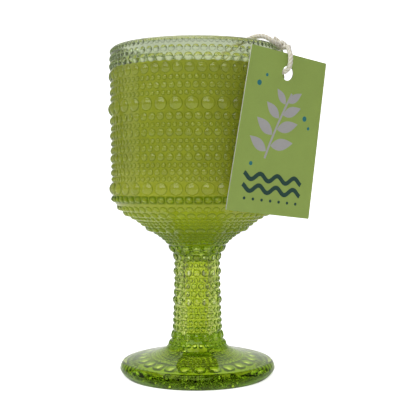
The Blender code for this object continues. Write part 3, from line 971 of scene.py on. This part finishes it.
def make_wax():
    """The wax: it reaches just into the glass, with a soft meniscus at its top."""
    shell = Shell()
    wall = INNER_RADIUS + WAX_REACH
    points = [(radius + WAX_REACH, height - WAX_REACH) for radius, height in reversed(INNER_CONE)]
    points.append((wall, INNER_CORNER_HEIGHT - WAX_REACH))
    first = shell.ring(*points[0], 64)
    bottom = (0.0, 0.0, INNER_BOTTOM_HEIGHT - WAX_REACH)
    shell.fan([number for _, number in first], bottom, flip=True)
    last = turned_band(shell, flat_curve(points, 3)[1:], 96, first)
    sides = [(wall, height) for height in (0.115, 0.135, WAX_TOP_HEIGHT + MENISCUS)]
    last = turned_band(shell, sides, 128, last)
    top = []
    for step in range(1, WAX_TOP_RINGS):
        radius = wall * (1 - (step / WAX_TOP_RINGS) ** 1.6)
        climb = MENISCUS * math.exp(-(wall - radius) / MENISCUS_WIDTH)
        dish = -DISH_DEPTH * math.exp(-((radius - DISH_RADIUS) / DISH_RADIUS) ** 2)
        top.append((radius, WAX_TOP_HEIGHT + climb + dish))
    last = turned_band(shell, top, 128, last)
    shell.fan([number for _, number in last], (0.0, 0.0, WAX_TOP_HEIGHT - 0.0001))
    for number, (x, y, z) in enumerate(shell.corners):
        if z > WAX_TOP_HEIGHT - 0.0006 and math.hypot(x, y) < INNER_RADIUS - 0.0005:
            ripple = noise.noise(Vector((x, y, 0.0)) * RIPPLE_SCALE) * RIPPLE
            shell.corners[number] = (x, y, z + ripple)
    return shell.piece("olive_wax", [wax_material()], sharp_degrees=50)


hold(make_wax(), "wax")


# Card tag with a generic print

def leaf(base, way, length, width):
    """Outline of one pointed leaf from its base along a direction in degrees."""
    turn = math.radians(way)
    ahead, side = (math.cos(turn), math.sin(turn)), (-math.sin(turn), math.cos(turn))
    outline = []
    for step in range(2 * LEAF_STEPS):
        out = step <= LEAF_STEPS
        share = step / LEAF_STEPS if out else 2 - step / LEAF_STEPS
        swell = math.sin(math.pi * share ** 0.85) * width / 2 * (1 if out else -1)
        outline.append(tuple(base[k] + ahead[k] * length * share + side[k] * swell for k in (0, 1)))
    return outline


def ribbon(points, width):
    """Outline of a flat ribbon along a chain of points."""
    left, right = [], []
    for index, point in enumerate(points):
        before, after = points[max(0, index - 1)], points[min(len(points) - 1, index + 1)]
        dx, dy = after[0] - before[0], after[1] - before[1]
        size = math.hypot(dx, dy)
        nx, ny = -dy / size * width / 2, dx / size * width / 2
        left.append((point[0] + nx, point[1] + ny))
        right.append((point[0] - nx, point[1] - ny))
    return right + left[::-1]


def disc(centre, radius, steps=20):
    """Outline of a disc."""
    turns = [math.tau * k / steps for k in range(steps)]
    return [(centre[0] + radius * math.cos(t), centre[1] + radius * math.sin(t)) for t in turns]


def stalk_point(rise):
    """A point on the sprig's stalk at a rise in millimetres over its foot."""
    bend = STALK_BEND * MM * (rise / STALK_REACH) ** 2
    x = STALK_FOOT[0] * MM + STALK_LEAN * rise * MM + bend
    return (x, STALK_FOOT[1] * MM + rise * MM)


def print_shapes():
    """The print: a pale sprig over two dark wavy bands, with a few teal dots."""
    stalk = [stalk_point(rise) for rise in range(0, STALK_REACH - 2, 2)]
    shapes = [(PALE, ribbon(stalk, STALK_WIDTH * MM))]
    for rise, way, length in LEAVES:
        x, y = stalk_point(rise)
        turn = math.radians(way)
        base = (x + LEAF_START * MM * math.cos(turn), y + LEAF_START * MM * math.sin(turn))
        shapes.append((PALE, leaf(base, way, length * MM, length * LEAF_SHARE * MM)))
    for level in WAVE_LEVELS:
        across = [-17 + 0.5 * k for k in range(69)]
        wave = [(x * MM, (level + WAVE_SWING * math.sin(x * WAVE_TURN)) * MM) for x in across]
        shapes.append((DARK, ribbon(wave, WAVE_WIDTH * MM)))
    for x in range(-15, 16, 5):
        shapes.append((DARK, disc((x * MM, DOT_LEVEL * MM), DOT_RADIUS * MM, 14)))
    for x, y, radius in TEAL_DOTS:
        shapes.append((TEAL, disc((x * MM, y * MM), radius * MM)))
    return shapes


def inside(point, outline):
    """Whether a flat point lies inside an outline."""
    x, y = point
    found = False
    for (x1, y1), (x2, y2) in zip(outline, outline[1:] + outline[:1]):
        if (y1 > y) != (y2 > y) and x < (x2 - x1) * (y - y1) / (y2 - y1) + x1:
            found = not found
    return found


def card_outline():
    """The card's outline, with its corners a little rounded."""
    outline = []
    for side, end, first in ((1, 1, 0), (-1, 1, 90), (-1, -1, 180), (1, -1, 270)):
        x = side * (TAG_WIDTH / 2 - TAG_CORNER)
        y = end * (TAG_HEIGHT / 2 - TAG_CORNER)
        for turn in (0, 45, 90):
            angle = math.radians(first + turn)
            outline.append((x + TAG_CORNER * math.cos(angle), y + TAG_CORNER * math.sin(angle)))
    return outline


def card_grid():
    """Points spread over the card, so that it can bow."""
    points = []
    for row in range(1, TAG_ROWS):
        for column in range(1, TAG_COLUMNS):
            x = -TAG_WIDTH / 2 + TAG_WIDTH * column / TAG_COLUMNS + 0.0002 * (row % 3)
            points.append((x, -TAG_HEIGHT / 2 + TAG_HEIGHT * row / TAG_ROWS))
    return points


def bowed(point, out):
    """A flat point of the card with the card's own slight bow and twist."""
    along, over = point.y / (TAG_HEIGHT / 2), point.x / (TAG_WIDTH / 2)
    return (point.x, point.y, out + TAG_BOW * (0.5 - along ** 2) + TAG_TWIST * along * over)


def make_tag():
    """The card tag: a slightly bowed card with its print laid into its face."""
    outline = card_outline()
    hole = disc((0.0, TAG_HEIGHT / 2 - TAG_HOLE_DROP), TAG_HOLE_RADIUS, 40)
    shapes = print_shapes()
    points, edges = [], []
    for loop in [outline, hole] + [shape for _, shape in shapes]:
        first = len(points)
        points += loop
        edges += [(first + k, first + (k + 1) % len(loop)) for k in range(len(loop))]
    points += card_grid()
    flat_points = [Vector(point) for point in points]
    flat, _, triangles, *_ = delaunay_2d_cdt(flat_points, edges, [], 0, 1e-7)
    shell = Shell()
    finishes = []
    front = [shell.add(bowed(point, TAG_THICKNESS / 2)) for point in flat]
    back = [shell.add(bowed(point, -TAG_THICKNESS / 2)) for point in flat]
    borders = {}
    for triangle in triangles:
        x = sum(flat[k].x for k in triangle) / 3
        y = sum(flat[k].y for k in triangle) / 3
        if inside((x, y), hole) or not inside((x, y), outline):
            continue
        finish = PAPER
        for number, shape in shapes:
            if inside((x, y), shape):
                finish = number
        shell.faces.append(tuple(front[k] for k in triangle))
        shell.faces.append(tuple(back[k] for k in reversed(triangle)))
        finishes += [finish, BACK]
        for here, there in zip(triangle, triangle[1:] + triangle[:1]):
            if (there, here) in borders:
                del borders[(there, here)]
            else:
                borders[(here, there)] = True
    for here, there in borders:
        shell.faces.append((front[there], front[here], back[here], back[there]))
        finishes.append(CORE)
    inks = [print_material(*finish) for finish in TAG_FINISHES]
    tag = shell.piece("card_tag", inks, sharp_degrees=40)
    for face, finish in zip(tag.data.polygons, finishes):
        face.material_index = finish
    tag.matrix_world = tag_matrix()
    return tag


hold(make_tag(), "tag")


# Stage and light

def plane(name, centre, across, up, finish):
    """A flat rectangle from its centre and its two half sides."""
    shell = Shell()
    centre, across, up = Vector(centre), Vector(across), Vector(up)
    signs = ((-1, -1), (1, -1), (1, 1), (-1, 1))
    shell.faces.append([shell.add(centre + across * x + up * y) for x, y in signs])
    item = shell.piece(name, [finish])


def area_light(name, place, width, height, power):
    """A soft rectangular lamp that is aimed at the goblet's middle."""
    data = bpy.data.lights.new(name, "AREA")
    data.shape = "RECTANGLE"
    data.size = width
    data.size_y = height
    data.energy = power
    lamp = bpy.data.objects.new(name, data)
    bpy.context.scene.collection.objects.link(lamp)
    lamp.location = place
    lamp.rotation_euler = (Vector(LAMP_AIM) - Vector(place)).to_track_quat("-Z", "Y").to_euler()


def make_stage():
    """A pale floor, a pale backdrop and soft light."""
    floor = stage_material("pale_floor", (0.80, 0.80, 0.79), 0.20, 0.03, 0.86)
    back = stage_material("pale_backdrop", (0.80, 0.80, 0.80), 0.36, 0.02, 1.0)
    plane("floor", (0.0, 0.4, 0.0), (2.4, 0.0, 0.0), (0.0, 1.6, 0.0), floor)
    plane("backdrop", (0.0, 1.6, 1.2), (2.4, 0.0, 0.0), (0.0, 0.0, 1.6), back)
    world = bpy.data.worlds.new("studio")
    bpy.context.scene.world = world
    world.use_nodes = True
    tree = world.node_tree
    sky = tree.nodes["Background"].inputs
    sky["Color"].default_value = (1.0, 1.0, 1.0, 1.0)
    rays = tree.nodes.new("ShaderNodeLightPath")
    seen = range_node(tree, rays.outputs["Is Camera Ray"], 0.0, 1.0, WORLD_LIGHT, 1.0)
    tree.links.new(seen, sky["Strength"])
    for lamp in LAMPS:
        area_light(*lamp)


make_stage()
bpy.context.scene.view_settings.view_transform = "Standard"

bpy.context.view_layer.update()
